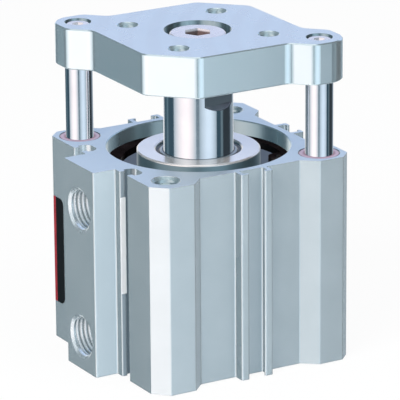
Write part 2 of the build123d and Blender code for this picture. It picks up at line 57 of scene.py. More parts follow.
# Floor and surroundings
WHITE = (1.0, 1.0, 1.0, 1.0)
AMBIENT = 0.55
FLOOR_R = 3.0
FLOOR_STEPS = 64
FLOOR_DROP = 0.00005
FLOOR_COLOUR = (0.92, 0.93, 0.94, 1.0)
FLOOR_GLOW = 0.92

# Reflected panels: their radius, their steps and the elevations of their edges in degrees
PANEL_R = 1.0
PANEL_STEP = 2.0
FEWEST_STEPS = 2
PANEL_LOW = -72.0
PANEL_HIGH = 72.0
SKY_HIGH = 76.0
BODY_EDGE = -19.5
FRONT_EDGE = 2.0
BACK_EDGE = 8.0

# Azimuths in degrees at which the panels start, from the back round by the left, and the last one's end
DARK_FAR_LEFT = -179.0
FAINT_LEFT = -158.0
DARK_LEFT = -146.0
WHITE_LEFT = -118.0
DARK_FRONT = -37.0
WHITE_RIGHT = -27.0
DARK_RIGHT = 32.0
FAINT_RIGHT = 48.0
DARK_FAR_RIGHT = 59.0
GREY_BACK = 98.0
WHITE_BACK = 130.0
PANELS_END = 181.0

# Azimuths at which a panel's colour is furthest from that of its edges
FAR_LEFT_PEAK = -165.0
DARK_LEFT_PEAK = -130.0
LEFT_PEAK = -70.0
RIGHT_PEAK = 4.0
BACK_PEAK = 129.0

# Threads, a little inside their plain holes
THREAD_STEPS = 48
CREST_START = 0.42
CREST_END = 0.58
PORT_THREAD = dict(root_r=0.00657, crest_r=0.00575, pitch=0.001337, length=0.0098, lead_in=0.0006)
FIX_THREAD = dict(root_r=0.00399, crest_r=0.00335, pitch=0.00125, length=0.0136, lead_in=0.0007)
TAP_THREAD = dict(root_r=0.00299, crest_r=0.0025, pitch=0.001, length=0.0115, lead_in=0.0006)
PORT_Z = (0.0098, 0.0478)
FIX_OFFSET = 0.025
FIX_CHAMFER = 0.0002
TAP_OFFSET = 0.0146
TAP_CHAMFER = 0.00025

# Axes and radii that finishes and painted shades follow
ROD_AXIS = (0.0, 0.0)
GUIDE_LEFT = (-0.025, 0.025)
GUIDE_RIGHT = (0.025, -0.025)
GUIDE_BUSH_R = 0.006
GUIDE_BORE_R = 0.004
PISTON_ROD_R = 0.01
BORE_WALL_R = 0.0279
SCREW_RECESS_R = 0.0097
SMALL_RECESS_R = 0.0039
GROOVE_START_R = 0.0059
GROOVE_FULL_R = 0.00643

# Depths and widths at which finishes, painted shades and painted highlights change
WRENCH_REACH = 0.0102
WRENCH_SINK = 0.00006
HUB_RIM = 0.0005
SOCKET_LIP = 0.0004
SOCKET_SHADE = 0.0005
WIPER_GAP = 0.00035
WIPER_W = 0.0008
STRIPE_W = 0.0014
MOUTH_START = 0.0008
MOUTH_END = 0.0015
SLOT_WALL_X = (-0.0302, -0.0266)
SLOT_WALL_Y = (0.01, 0.0112)
SLOT_LIP_X = (-0.0319, -0.0303)
SLOT_LIP_Y = (0.01125, 0.0114)
RED_START = 0.0009
RED_FULL = 0.0002
SEAT_START = 0.0005
SEAT_FULL = 0.0002
FADE = 0.0001
HALF_FADE = 0.00005
WALL_FADE = 0.0002

# Softened edges: their radii and the number of samples
EDGE_SAMPLES = 6
ANODISED_EDGE = 0.00022
TURNED_EDGE = 0.0002
CHROME_EDGE = 0.00015
SCREW_EDGE = 0.00012

# Usual range of a noise value, and where faces count as level or as facing the side
NOISE_LOW = 0.3
NOISE_HIGH = 0.7
LEVEL_TILT = (0.75, 0.9)
SIDE_TILT = (0.85, 0.95)

# Tool marks: the unit of their waves, the waves' sizes and the points that a cutter went round
WAVE_UNIT = 0.05
MILL_WAVE = 0.0012
LATHE_WAVE = 0.0009
BODY_MILL_CENTRE = (-0.05, 0.11)
PLATE_MILL_CENTRE = (0.09, -0.06)

# Relief of the surfaces
SCORE_DEPTH = 0.0000005
FINE_DEPTH = 0.0000002
LATHE_DEPTH = 0.0000008
THREAD_DEPTH = 0.000001
FILM_DEPTH = 0.0000015
GRAIN_DEPTH = 0.000002
CRYSTAL_DEPTH = 0.000003

# Share of metal in the look of level anodised faces, and shares of tool marks in the tone
LEVEL_METAL = 0.8
LINE_SHARE = 0.16
RING_SHARE = 0.2

# The one node that shows in reflections, as its bands do in the hub in the photograph
MIRRORED = "piston_rod"

nodes = frame["nodes"]
body_low, body_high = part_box("cylinder_tube")
plate_low, plate_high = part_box("plate")
PORT_FACE_X = body_low.x
BOSS_X = -body_high.x
BODY_TOP = body_high.z
PLATE_TOP = plate_high.z
OBJECT_MIDDLE = (body_low.z + plate_high.z) / 2
WRENCH_LOW = plate_low.z - WRENCH_REACH
UP = Vector((0.0, 0.0, 1.0))
DOWN = Vector((0.0, 0.0, -1.0))
PORT_AXIS = Vector((-1.0, 0.0, 0.0))


# Shared helpers

def add_node(tree, kind, inputs=None, **settings):
    """One shader node with its settings and input values."""
    node = tree.nodes.new(kind)
    for name, value in settings.items():
        setattr(node, name, value)
    for name, value in (inputs or {}).items():
        node.inputs[name].default_value = value
    return node


def join(tree, source, target):
    """Link from an output socket to an input socket."""
    tree.links.new(source, target)


def bare_material(name):
    """Material with an empty node tree."""
    paint = bpy.data.materials.new(name)
    paint.use_nodes = True
    paint.node_tree.nodes.clear()
    return paint, paint.node_tree


def add_object(name, data):
    """New object in the scene."""
    made = bpy.data.objects.new(name, data)
    bpy.context.scene.collection.objects.link(made)
    return made


def mesh_object(name, vertices, faces):
    """New mesh object from its vertices and faces."""
    mesh = bpy.data.meshes.new(name)
    mesh.from_pydata(vertices, [], faces)
    mesh.update()
    return add_object(name, mesh)


def direction(azimuth, elevation):
    """Unit vector from the object towards an azimuth and an elevation in radians."""
    level = math.cos(elevation)
    return Vector((math.sin(azimuth) * level, -math.cos(azimuth) * level, math.sin(elevation)))


# Camera, floor and surroundings

def add_camera():
    """Camera at the photograph's viewpoint."""
    back = direction(CAMERA_AZIMUTH, CAMERA_ELEVATION)
    side = Vector((math.cos(CAMERA_AZIMUTH), math.sin(CAMERA_AZIMUTH), 0.0))
    rise = back.cross(side)
    right = math.cos(CAMERA_ROLL) * side + math.sin(CAMERA_ROLL) * rise
    up = math.cos(CAMERA_ROLL) * rise - math.sin(CAMERA_ROLL) * side
    place = back * CAMERA_DISTANCE + right * CAMERA_RIGHT + up * CAMERA_UP
    data = bpy.data.cameras.new("camera")
    data.sensor_width = SENSOR_MM
    data.lens = FOCAL_PX * SENSOR_MM / IMAGE_PX
    data.clip_start = NEAR_CLIP
    camera = add_object("camera", data)
    turn = Matrix((right, up, back)).transposed().to_4x4()
    camera.matrix_world = Matrix.Translation(place) @ turn
    bpy.context.scene.camera = camera


def seen_directly(tree):
    """1 for what the camera sees, straight or mirrored in metal or through glass."""
    path = add_node(tree, "ShaderNodeLightPath")
    first = add_node(tree, "ShaderNodeMath", operation="MAXIMUM")
    second = add_node(tree, "ShaderNodeMath", operation="MAXIMUM")
    join(tree, path.outputs["Is Camera Ray"], first.inputs[0])
    join(tree, path.outputs["Is Glossy Ray"], first.inputs[1])
    join(tree, first.outputs[0], second.inputs[0])
    join(tree, path.outputs["Is Transmission Ray"], second.inputs[1])
    return second.outputs[0]


def add_world():
    """White surroundings that light the object softly from all sides."""
    world = bpy.data.worlds.new("studio")
    bpy.context.scene.world = world
    world.use_nodes = True
    world.cycles.sampling_method = "NONE"
    tree = world.node_tree
    tree.nodes.clear()
    strength = add_node(tree, "ShaderNodeMapRange", {"To Min": AMBIENT, "To Max": 1.0})
    background = add_node(tree, "ShaderNodeBackground", {"Color": WHITE})
    output = add_node(tree, "ShaderNodeOutputWorld")
    join(tree, seen_directly(tree), strength.inputs["Value"])
    join(tree, strength.outputs[0], background.inputs["Strength"])
    join(tree, background.outputs[0], output.inputs["Surface"])


def add_floor():
    """Pale round floor that stays white to the camera and keeps a soft shadow."""
    rim = [math.tau * step / FLOOR_STEPS for step in range(FLOOR_STEPS)]
    points = [(FLOOR_R * math.cos(a), FLOOR_R * math.sin(a), -FLOOR_DROP) for a in rim]
    floor = mesh_object("floor", points, [tuple(range(FLOOR_STEPS))])
    paint, tree = bare_material("floor_paper")
    paper = add_node(tree, "ShaderNodeBsdfDiffuse", {"Color": FLOOR_COLOUR})
    white = add_node(tree, "ShaderNodeEmission", {"Color": WHITE, "Strength": 1.0})
    share = add_node(tree, "ShaderNodeMapRange", {"To Min": 0.0, "To Max": FLOOR_GLOW})
    blend = add_node(tree, "ShaderNodeMixShader")
    output = add_node(tree, "ShaderNodeOutputMaterial")
    join(tree, seen_directly(tree), share.inputs["Value"])
    join(tree, share.outputs[0], blend.inputs["Fac"])
    join(tree, paper.outputs[0], blend.inputs[1])
    join(tree, white.outputs[0], blend.inputs[2])
    join(tree, blend.outputs[0], output.inputs["Surface"])
    floor.data.materials.append(paint)
    floor.visible_glossy = False


# Reflected panels and lamps

def panel_glow(azimuth, start, end, peak, colour, bright):
    """Colour of a panel at one azimuth, swelling from both edges to its peak."""
    edge = start if azimuth < peak else end
    if azimuth == edge:
        return (*colour, 1.0)
    share = math.sin(math.pi / 2 * (azimuth - edge) / (peak - edge))
    return (*(dim + (full - dim) * share for dim, full in zip(colour, bright)), 1.0)


def panel_point(azimuth, elevation):
    """Point of the panels' cylinder seen at an azimuth and an elevation in degrees."""
    angle = math.radians(azimuth)
    rise = OBJECT_MIDDLE + PANEL_R * math.tan(math.radians(elevation))
    return (PANEL_R * math.sin(angle), -PANEL_R * math.cos(angle), rise)


def panel_light(name):
    """Light in the colours that a panel's points carry."""
    paint, tree = bare_material(name)
    glowing = add_node(tree, "ShaderNodeAttribute", attribute_name="glow")
    light = add_node(tree, "ShaderNodeEmission")
    output = add_node(tree, "ShaderNodeOutputMaterial")
    join(tree, glowing.outputs["Color"], light.inputs["Color"])
    join(tree, light.outputs[0], output.inputs["Surface"])
    return paint


def add_panel(name, start, end, colour, peak=None, bright=None, low=PANEL_LOW, high=PANEL_HIGH):
    """Curved studio panel between two azimuths in degrees, which only reflections see."""
    peak = (start + end) / 2 if peak is None else peak
    bright = bright or colour
    steps = max(FEWEST_STEPS, round((end - start) / PANEL_STEP))
    points = []
    glow = []
    for step in range(steps + 1):
        azimuth = start + (end - start) * step / steps
        points += [panel_point(azimuth, low), panel_point(azimuth, high)]
        glow += [panel_glow(azimuth, start, end, peak, colour, bright)] * 2
    faces = [(2 * step, 2 * step + 1, 2 * step + 3, 2 * step + 2) for step in range(steps)]
    panel = mesh_object(name, points, faces)
    layer = panel.data.color_attributes.new("glow", "FLOAT_COLOR", "POINT")
    for item, value in zip(layer.data, glow):
        item.color = value
    panel.data.materials.append(panel_light(name + "_light"))
    panel.visible_camera = False
    panel.visible_diffuse = False
    panel.visible_shadow = False


def add_left_panels():
    """Dark panels at the far left and a white one before them, as the left half of each rod mirrors."""
    slate = (0.042, 0.075, 0.100)
    ink = (0.055, 0.10, 0.135)
    pale = (0.46, 0.56, 0.63)
    white = (1.30, 1.17, 1.17)
    add_panel("dark_far_left", DARK_FAR_LEFT, FAINT_LEFT, slate, FAR_LEFT_PEAK, (0.060, 0.110, 0.145))
    add_panel("faint_left", FAINT_LEFT, DARK_LEFT, (0.065, 0.115, 0.145), bright=(0.14, 0.225, 0.275))
    add_panel("dark_left", DARK_LEFT, WHITE_LEFT, ink, DARK_LEFT_PEAK, (0.045, 0.085, 0.115))
    add_panel("white_left", WHITE_LEFT, DARK_FRONT, pale, LEFT_PEAK, white, high=FRONT_EDGE)


def add_front_panels():
    """Narrow dark panel that draws the rods' middle line, a duller one for the body below it
    and the pale blue one at the right of the front."""
    haze = (0.375, 0.465, 0.535)
    sky = (0.80, 0.94, 1.08)
    add_panel("dark_front", DARK_FRONT, WHITE_RIGHT, (0.09, 0.145, 0.19), low=BODY_EDGE, high=FRONT_EDGE)
    add_panel("dull_front", DARK_FRONT, WHITE_RIGHT, (0.60, 0.70, 0.76), high=BODY_EDGE)
    add_panel("white_right", WHITE_RIGHT, DARK_RIGHT, haze, RIGHT_PEAK, sky, high=FRONT_EDGE)


def add_upper_panels():
    """Dimmer panels above the front ones, which leaning faces and rounded edges mirror."""
    dusk = (0.30, 0.37, 0.43)
    grey = (0.78, 0.80, 0.84)
    steel = (0.30, 0.38, 0.45)
    blue = (0.55, 0.65, 0.75)
    add_panel("upper_left", WHITE_LEFT, DARK_FRONT, dusk, LEFT_PEAK, grey, low=FRONT_EDGE)
    add_panel("upper_front", DARK_FRONT, WHITE_RIGHT, (0.10, 0.16, 0.20), low=FRONT_EDGE)
    add_panel("upper_right", WHITE_RIGHT, DARK_RIGHT, steel, RIGHT_PEAK, blue, low=FRONT_EDGE)


def add_right_panels():
    """Dark panels at the right, with a slightly lighter one between them."""
    add_panel("dark_right", DARK_RIGHT, FAINT_RIGHT, (0.042, 0.080, 0.110))
    add_panel("faint_right", FAINT_RIGHT, DARK_FAR_RIGHT, (0.09, 0.13, 0.155), bright=(0.16, 0.23, 0.27))
    add_panel("dark_far_right", DARK_FAR_RIGHT, GREY_BACK, (0.034, 0.045, 0.055))


def add_back_panels():
    """Grey and white panels behind the object, under the blue one that level faces mirror."""
    shade = (0.14, 0.19, 0.24)
    grey = (0.34, 0.40, 0.45)
    white = (1.0, 1.0, 1.0)
    add_panel("grey_back", GREY_BACK, WHITE_BACK, shade, BACK_PEAK, grey, high=BACK_EDGE)
    add_panel("white_back", WHITE_BACK, PANELS_END, (0.62, 0.68, 0.74), bright=white, high=BACK_EDGE)
    add_panel("blue_back", GREY_BACK, PANELS_END, (0.56, 0.69, 0.97), low=BACK_EDGE, high=SKY_HIGH)


def add_softbox(name, azimuth, elevation, distance, width, power):
    """Square softbox that faces the middle of the object and shows in no reflection."""
    light = bpy.data.lights.new(name, "AREA")
    light.shape = "SQUARE"
    light.size = width
    light.energy = power
    lamp = add_object(name, light)
    back = direction(math.radians(azimuth), math.radians(elevation))
    lamp.location = Vector((0.0, 0.0, OBJECT_MIDDLE)) + back * distance
    lamp.rotation_mode = "QUATERNION"
    lamp.rotation_quaternion = back.to_track_quat("Z", "Y")
    lamp.visible_camera = False
    lamp.visible_glossy = False


# Shader parts

def ramp(tree, value, start, end):
    """0 up to the start of a range and 1 past its end."""
    node = add_node(tree, "ShaderNodeMapRange", {"From Min": start, "From Max": end})
    join(tree, value, node.inputs["Value"])
    return node.outputs[0]


def spread(tree, value, low, high):
    """Noise value drawn out from its usual range to one between two numbers."""
    limits = {"From Min": NOISE_LOW, "From Max": NOISE_HIGH, "To Min": low, "To Max": high}
    node = add_node(tree, "ShaderNodeMapRange", limits)
    join(tree, value, node.inputs["Value"])
    return node.outputs[0]


def noise(tree, cells, stretch=(1.0, 1.0, 1.0), detail=3.0):
    """Noise over the model's own coordinates, in cells per metre; stretch below 1 draws it out."""
    place = add_node(tree, "ShaderNodeTexCoord")
    mapping = add_node(tree, "ShaderNodeMapping", {"Scale": stretch})
    texture = add_node(tree, "ShaderNodeTexNoise", {"Scale": cells, "Detail": detail})
    join(tree, place.outputs["Object"], mapping.inputs["Vector"])
    join(tree, mapping.outputs[0], texture.inputs["Vector"])
    return texture.outputs["Fac"]


def flattened(tree, centre, across=(1.0, 1.0, 0.0)):
    """Place of a point beside an axis through a centre, without its share along the axis."""
    place = add_node(tree, "ShaderNodeTexCoord")
    shift = tuple(-c * a for c, a in zip(centre, across))
    mapping = add_node(tree, "ShaderNodeMapping", {"Location": shift, "Scale": across})
    join(tree, place.outputs["Object"], mapping.inputs["Vector"])
    return mapping.outputs[0]


def rings(tree, centre, wave):
    """Round tool marks about an upright axis, as heights from 0 to 1."""
    waves = {"Scale": WAVE_UNIT / wave, "Distortion": 0.6, "Detail": 2.0, "Detail Scale": 1.5}
    texture = add_node(tree, "ShaderNodeTexWave", waves, wave_type="RINGS", rings_direction="Z")
    join(tree, flattened(tree, (*centre, 0.0)), texture.inputs["Vector"])
    return texture.outputs["Fac"]


def vector_length(tree, vector):
    """Length of a vector."""
    node = add_node(tree, "ShaderNodeVectorMath", operation="LENGTH")
    join(tree, vector, node.inputs[0])
    return node.outputs["Value"]


def reach(tree, centre):
    """Distance of a point from an upright axis, in metres."""
    return vector_length(tree, flattened(tree, (*centre, 0.0)))


def place_parts(tree):
    """X, Y and Z of a point in the model's own coordinates."""
    place = add_node(tree, "ShaderNodeTexCoord")
    split = add_node(tree, "ShaderNodeSeparateXYZ")
    join(tree, place.outputs["Object"], split.inputs[0])
    return split.outputs


def facing_parts(tree):
    """X, Y and Z of the direction that a face looks in."""
    geometry = add_node(tree, "ShaderNodeNewGeometry")
    split = add_node(tree, "ShaderNodeSeparateXYZ")
    join(tree, geometry.outputs["True Normal"], split.inputs[0])
    return split.outputs


def height(tree):
    """Height of a point above the body's foot, in metres."""
    return place_parts(tree)["Z"]


def amount(tree, value):
    """Value without its sign."""
    node = add_node(tree, "ShaderNodeMath", operation="ABSOLUTE")
    join(tree, value, node.inputs[0])
    return node.outputs[0]


def both(tree, first, second):
    """Product of two masks."""
    node = add_node(tree, "ShaderNodeMath", operation="MULTIPLY")
    join(tree, first, node.inputs[0])
    join(tree, second, node.inputs[1])
    return node.outputs[0]


def between(tree, value, low, high):
    """1 between two bounds of a value and 0 outside them."""
    above = ramp(tree, value, low - HALF_FADE, low + HALF_FADE)
    below = ramp(tree, value, high + HALF_FADE, high - HALF_FADE)
    return both(tree, above, below)


def mix_colour(tree, factor, first, second):
    """Colour between two, each a colour or an output socket."""
    node = add_node(tree, "ShaderNodeMix", data_type="RGBA")
    join(tree, factor, node.inputs["Factor"])
    for value, socket in ((first, node.inputs[6]), (second, node.inputs[7])):
        if isinstance(value, tuple):
            socket.default_value = (*value, 1.0)
        else:
            join(tree, value, socket)
    return node.outputs[2]


def mix_value(tree, factor, first, second):
    """Number between two output sockets."""
    node = add_node(tree, "ShaderNodeMix", data_type="FLOAT")
    join(tree, factor, node.inputs["Factor"])
    join(tree, first, node.inputs[2])
    join(tree, second, node.inputs[3])
    return node.outputs[0]


def mottle(tree, cloud, dark, light):
    """Colour that drifts from a dark tone to a light one with a noise."""
    return mix_colour(tree, spread(tree, cloud, 0.0, 1.0), dark, light)


def about(tree, cloud, middle, below, above):
    """Number that drifts about a middle value with a noise."""
    return spread(tree, cloud, middle - below, middle + above)


def bump(tree, relief, depth, normal=None):
    """Surface relief of a real depth in metres."""
    node = add_node(tree, "ShaderNodeBump", {"Distance": depth, "Strength": 1.0})
    join(tree, relief, node.inputs["Height"])
    if normal:
        join(tree, normal, node.inputs["Normal"])
    return node.outputs[0]


def soft_edges(tree, radius):
    """Normal that rounds sharp edges by a small radius."""
    return add_node(tree, "ShaderNodeBevel", {"Radius": radius}, samples=EDGE_SAMPLES).outputs[0]


# Masks of places on the object

def level_mask(tree):
    """1 on level faces and 0 on upright ones."""
    return ramp(tree, amount(tree, facing_parts(tree)["Z"]), *LEVEL_TILT)


def recess_mask(tree, centre, radius):
    """1 inside a round recess with an upright axis and 0 outside it."""
    return ramp(tree, reach(tree, centre), radius + WALL_FADE, radius)


def slot_mask(tree, depth, aside):
    """1 in both sensor slots within a range of depth and of distance from the middle."""
    place = place_parts(tree)
    deep = between(tree, place["X"], *depth)
    return both(tree, deep, between(tree, amount(tree, place["Y"]), *aside))


def boss_mask(tree):
    """1 on the two flat sides of the port boss and 0 elsewhere."""
    beyond = ramp(tree, place_parts(tree)["X"], BOSS_X - FADE, BOSS_X - FADE - WALL_FADE)
    sideways = ramp(tree, amount(tree, facing_parts(tree)["Y"]), *SIDE_TILT)
    return both(tree, beyond, sideways)


def groove_mask(tree):
    """1 at the roots of the two ports' threads, 0 at their crests and at the mouths."""
    inside = ramp(tree, place_parts(tree)["X"], PORT_FACE_X + MOUTH_START, PORT_FACE_X + MOUTH_END)
    nearest = add_node(tree, "ShaderNodeMath", operation="MINIMUM")
    for z, socket in zip(PORT_Z, nearest.inputs):
        beside = flattened(tree, (0.0, 0.0, z), across=(0.0, 1.0, 1.0))
        join(tree, vector_length(tree, beside), socket)
    return both(tree, inside, ramp(tree, nearest.outputs[0], GROOVE_START_R, GROOVE_FULL_R))


def wrench_mask(tree):
    """1 on the piston rod's wrench flats and 0 on its round skin."""
    near_plate = ramp(tree, height(tree), WRENCH_LOW, WRENCH_LOW + FADE)
    sunk = ramp(tree, reach(tree, ROD_AXIS), PISTON_ROD_R - WRENCH_SINK, PISTON_ROD_R - 2 * WRENCH_SINK)
    return both(tree, near_plate, sunk)


def wiper_mask(tree):
    """1 on the ring of the rod seal that wipes the rod and 0 elsewhere."""
    from_axis = reach(tree, ROD_AXIS)
    inner = PISTON_ROD_R + WIPER_GAP
    outer = inner + WIPER_W
    start = ramp(tree, from_axis, inner, inner + FADE)
    end = ramp(tree, from_axis, outer, outer - FADE)
    return both(tree, start, end)


# Materials

def new_material(name, metallic, specular=0.5):
    """Material with one shader, ready for its colour, roughness and relief."""
    material = bpy.data.materials.new(name)
    material.use_nodes = True
    shader = material.node_tree.nodes["Principled BSDF"]
    shader.inputs["Metallic"].default_value = metallic
    shader.inputs["Specular IOR Level"].default_value = specular
    return material, material.node_tree, shader


def finish(tree, shader, colour, roughness, normal):
    """Joins a colour, a roughness and a relief to the shader."""
    join(tree, colour, shader.inputs["Base Color"])
    join(tree, roughness, shader.inputs["Roughness"])
    join(tree, normal, shader.inputs["Normal"])


def anodised(name, level_tones, upright_tones, roughness, upright_metal, mill_centre, painted_shade_and_tones):
    """Clear anodised aluminium: drawn lines on upright faces and cutter arcs on level ones.
    Roughness is that of level and of upright faces, and the last argument adds painted shade and other tones
    to places of the upright ones."""
    material, tree, shader = new_material(name, metallic=LEVEL_METAL)
    cloud = noise(tree, cells=90.0)
    drawn = noise(tree, cells=1300.0, stretch=(1.0, 1.0, 0.015))
    grain = noise(tree, cells=1500.0, detail=1.0)
    milled = rings(tree, mill_centre, MILL_WAVE)
    level = level_mask(tree)
    metal = add_node(tree, "ShaderNodeMapRange", {"To Min": upright_metal, "To Max": LEVEL_METAL})
    join(tree, level, metal.inputs["Value"])
    join(tree, metal.outputs[0], shader.inputs["Metallic"])
    # the last argument paints shade into the upright faces' recesses and slots
    upright_tone = painted_shade_and_tones(tree, mottle(tree, cloud, *upright_tones))
    tone = mix_colour(tree, level, upright_tone, mottle(tree, cloud, *level_tones))
    lines = mix_value(tree, level, drawn, milled)
    lined = mix_colour(tree, spread(tree, lines, 0.0, LINE_SHARE), tone, upright_tones[1])
    level_rough, upright_rough = (about(tree, cloud, middle, below=0.02, above=0.03) for middle in roughness)
    rough = mix_value(tree, level, upright_rough, level_rough)
    scored = bump(tree, lines, SCORE_DEPTH, normal=soft_edges(tree, ANODISED_EDGE))
    finish(tree, shader, lined, rough, bump(tree, grain, FINE_DEPTH, normal=scored))
    return material


def body_painted_shade_and_boss_tone(tree, tone):
    """Painted shade on the bore's wall and on the sensor slots' walls and lips, and the tone of the port
    boss's sides.
    """
    bore_wall_shade = (0.58, 0.72, 0.74)
    slot_wall_shade = (0.16, 0.20, 0.22)
    slot_lip_shade = (0.42, 0.47, 0.49)
    boss_side = (0.85, 0.93, 0.95)
    # painted shade: darker tones for the shade in the bore recess and inside the sensor slots
    tone = mix_colour(tree, recess_mask(tree, ROD_AXIS, BORE_WALL_R), tone, bore_wall_shade)
    tone = mix_colour(tree, slot_mask(tree, SLOT_WALL_X, SLOT_WALL_Y), tone, slot_wall_shade)
    tone = mix_colour(tree, slot_mask(tree, SLOT_LIP_X, SLOT_LIP_Y), tone, slot_lip_shade)
    return mix_colour(tree, boss_mask(tree), tone, boss_side)


def plate_painted_shade(tree, tone):
    """Painted shade darkening the walls of the three screw recesses."""
    recess_wall_shade = (0.27, 0.37, 0.40)
    recesses = ((ROD_AXIS, SCREW_RECESS_R), (GUIDE_LEFT, SMALL_RECESS_R), (GUIDE_RIGHT, SMALL_RECESS_R))
    # painted shade on each recess wall
    for centre, radius in recesses:
        tone = mix_colour(tree, recess_mask(tree, centre, radius), tone, recess_wall_shade)
    return tone


def body_metal():
    """Anodised skin of the extruded body."""
    level_tones = ((0.71, 0.79, 0.83), (0.755, 0.835, 0.875))
    upright_tones = ((0.71, 0.785, 0.805), (0.76, 0.835, 0.855))
    return anodised("body_anodised", level_tones, upright_tones, roughness=(0.46, 0.24), upright_metal=0.72,
                    mill_centre=BODY_MILL_CENTRE, painted_shade_and_tones=body_painted_shade_and_boss_tone)


def plate_metal():
    """Anodised skin of the milled plate, smoother than the body's."""
    level_tones = ((0.72, 0.77, 0.79), (0.76, 0.81, 0.83))
    upright_tones = ((0.78, 0.90, 0.93), (0.83, 0.94, 0.97))
    return anodised("plate_anodised", level_tones, upright_tones, roughness=(0.26, 0.21), upright_metal=0.84,
                    mill_centre=PLATE_MILL_CENTRE, painted_shade_and_tones=plate_painted_shade)


def turned_metal(name, light, dark):
    """Lathe turned metal with faint rings about the rod's axis."""
    material, tree, shader = new_material(name, metallic=0.6)
    marks = rings(tree, ROD_AXIS, LATHE_WAVE)
    cloud = noise(tree, cells=160.0)
    tone = mix_colour(tree, spread(tree, marks, 0.0, RING_SHARE), mottle(tree, cloud, dark, light), dark)
    relief = bump(tree, marks, LATHE_DEPTH, normal=soft_edges(tree, TURNED_EDGE))
    rough = spread(tree, cloud, 0.30, 0.39)
    finish(tree, shader, tone, rough, relief)
    return material


def cover_metal(name):
    """Rod cover: a bright faced hub over sides and a flange darkened by painted shade to slate grey and near
    black.
    """
    material, tree, shader = new_material(name, metallic=0.7)
    marks = rings(tree, ROD_AXIS, LATHE_WAVE)
    cloud = noise(tree, cells=160.0)
    bright = mottle(tree, cloud, (0.96, 0.91, 0.87), (1.0, 0.96, 0.93))
    # painted shade: darker tones for the hub's sides and the flange, which lie in shade
    side = mottle(tree, cloud, (0.16, 0.24, 0.27), (0.20, 0.29, 0.32))
    flange = mottle(tree, cloud, (0.03, 0.045, 0.05), (0.05, 0.07, 0.08))
    low = mix_colour(tree, level_mask(tree), side, flange)
    rim_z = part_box("rod_cover")[1].z - HUB_RIM
    rim = ramp(tree, height(tree), rim_z - FADE, rim_z)
    dull = spread(tree, cloud, 0.30, 0.36)
    smooth = spread(tree, cloud, 0.19, 0.23)
    relief = bump(tree, marks, SCORE_DEPTH, normal=soft_edges(tree, TURNED_EDGE))
    finish(tree, shader, mix_colour(tree, rim, low, bright), mix_value(tree, rim, dull, smooth), relief)
    return material


def ground_chrome(name):
    """Hard chrome, ground round the rod and polished, with dull milled wrench flats."""
    material, tree, shader = new_material(name, metallic=1.0)
    ground = noise(tree, cells=1600.0, stretch=(0.03, 0.03, 1.0))
    haze = noise(tree, cells=140.0)
    plated = mottle(tree, haze, (0.80, 0.83, 0.86), (0.88, 0.90, 0.92))
    milled = mottle(tree, haze, (0.84, 0.80, 0.82), (0.92, 0.88, 0.90))
    polished = spread(tree, ground, 0.12, 0.15)
    dull = spread(tree, haze, 0.40, 0.46)
    flat = wrench_mask(tree)
    rough = mix_value(tree, flat, polished, dull)
    finish(tree, shader, mix_colour(tree, flat, plated, milled), rough, soft_edges(tree, CHROME_EDGE))
    shader.inputs["Anisotropic"].default_value = 1.0
    shader.inputs["Anisotropic Rotation"].default_value = 0.25
    round_rod = add_node(tree, "ShaderNodeTangent", direction_type="RADIAL", axis="Z")
    join(tree, round_rod.outputs[0], shader.inputs["Tangent"])
    return material


def dark_steel(name):
    """Spring steel with a black phosphate skin."""
    material, tree, shader = new_material(name, metallic=1.0)
    shader.inputs["Specular Tint"].default_value = (0.35, 0.33, 0.33, 1.0)
    crystals = noise(tree, cells=1500.0)
    tone = mottle(tree, noise(tree, cells=220.0), (0.018, 0.015, 0.014), (0.05, 0.043, 0.04))
    relief = bump(tree, crystals, CRYSTAL_DEPTH, normal=soft_edges(tree, TURNED_EDGE))
    rough = spread(tree, crystals, 0.34, 0.5)
    finish(tree, shader, tone, rough, relief)
    return material


def plated_steel(name, head_top, socket_shade_and_glint):
    """Screw steel with a thin bright plating, and the head's socket in given tones that paint its shade in
    one screw and a glint in the others.
    """
    material, tree, shader = new_material(name, metallic=0.7)
    cloud = noise(tree, cells=350.0)
    plating = mottle(tree, cloud, (0.80, 0.76, 0.79), (0.90, 0.86, 0.88))
    lip_z = head_top - SOCKET_LIP
    # below the lip the socket takes its painted tone of shade or glint
    socket = ramp(tree, height(tree), lip_z, lip_z - SOCKET_SHADE)
    tone = mix_colour(tree, socket, plating, mottle(tree, cloud, *socket_shade_and_glint))
    relief = bump(tree, noise(tree, cells=1600.0), FINE_DEPTH, normal=soft_edges(tree, SCREW_EDGE))
    rough = spread(tree, cloud, 0.24, 0.32)
    finish(tree, shader, tone, rough, relief)
    return material


def sintered_bronze(name, centre, inner_r, outer_r):
    """Porous bearing bronze with a film of oil, redder at its bore and dark at its seat."""
    material, tree, shader = new_material(name, metallic=0.8)
    pores = noise(tree, cells=1600.0, detail=2.0)
    face = mottle(tree, noise(tree, cells=400.0), (0.74, 0.50, 0.52), (0.84, 0.60, 0.62))
    from_axis = reach(tree, centre)
    red = ramp(tree, from_axis, inner_r + RED_START, inner_r + RED_FULL)
    seat = ramp(tree, from_axis, outer_r - SEAT_START, outer_r - SEAT_FULL)
    bore_red = (0.50, 0.22, 0.23)
    seat_brown = (0.20, 0.10, 0.12)
    tone = mix_colour(tree, seat, mix_colour(tree, red, face, bore_red), seat_brown)
    rough = spread(tree, pores, 0.34, 0.46)
    finish(tree, shader, tone, rough, bump(tree, pores, GRAIN_DEPTH))
    return material


